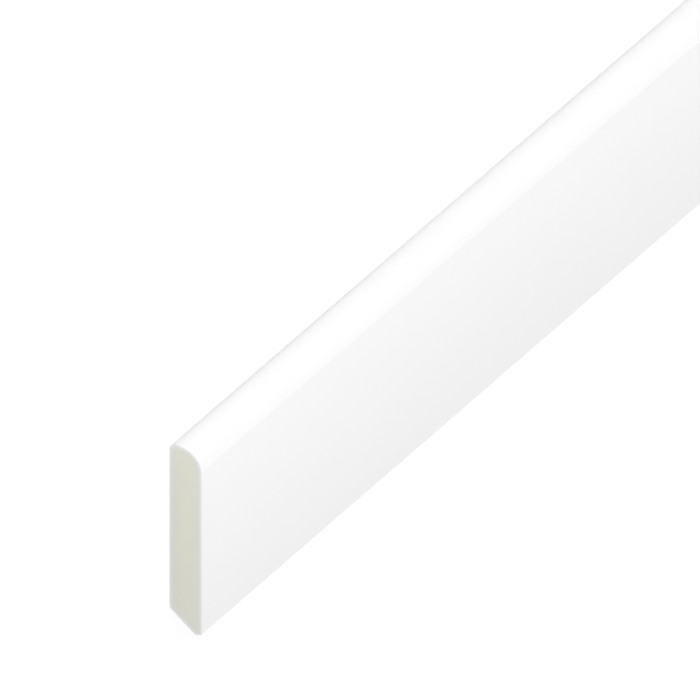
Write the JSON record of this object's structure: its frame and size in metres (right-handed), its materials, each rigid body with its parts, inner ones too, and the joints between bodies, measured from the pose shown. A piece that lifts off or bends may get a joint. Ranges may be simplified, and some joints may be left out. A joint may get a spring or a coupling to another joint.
{
  "type": "multi-purpose trim",
  "caption": "Flat white foamed-plastic trim strip with one leaning, rounded nose edge, one edge bevelled on the back and square-cut ends, for covering gaps and joints.",
  "frame": {"origin": "on the flat back that the strip lies on, halfway along its length and halfway across its overall width", "axes": "+X along the strip, +Y across it towards the rounded nose edge, +Z out of the show face"},
  "size_m": [2.5, 0.035, 0.006],
  "materials": {
    "white_pvc": "satin"
  },
  "bodies": {
    "root": {"trim_strip": "white_pvc"}
  },
  "joints": []
}
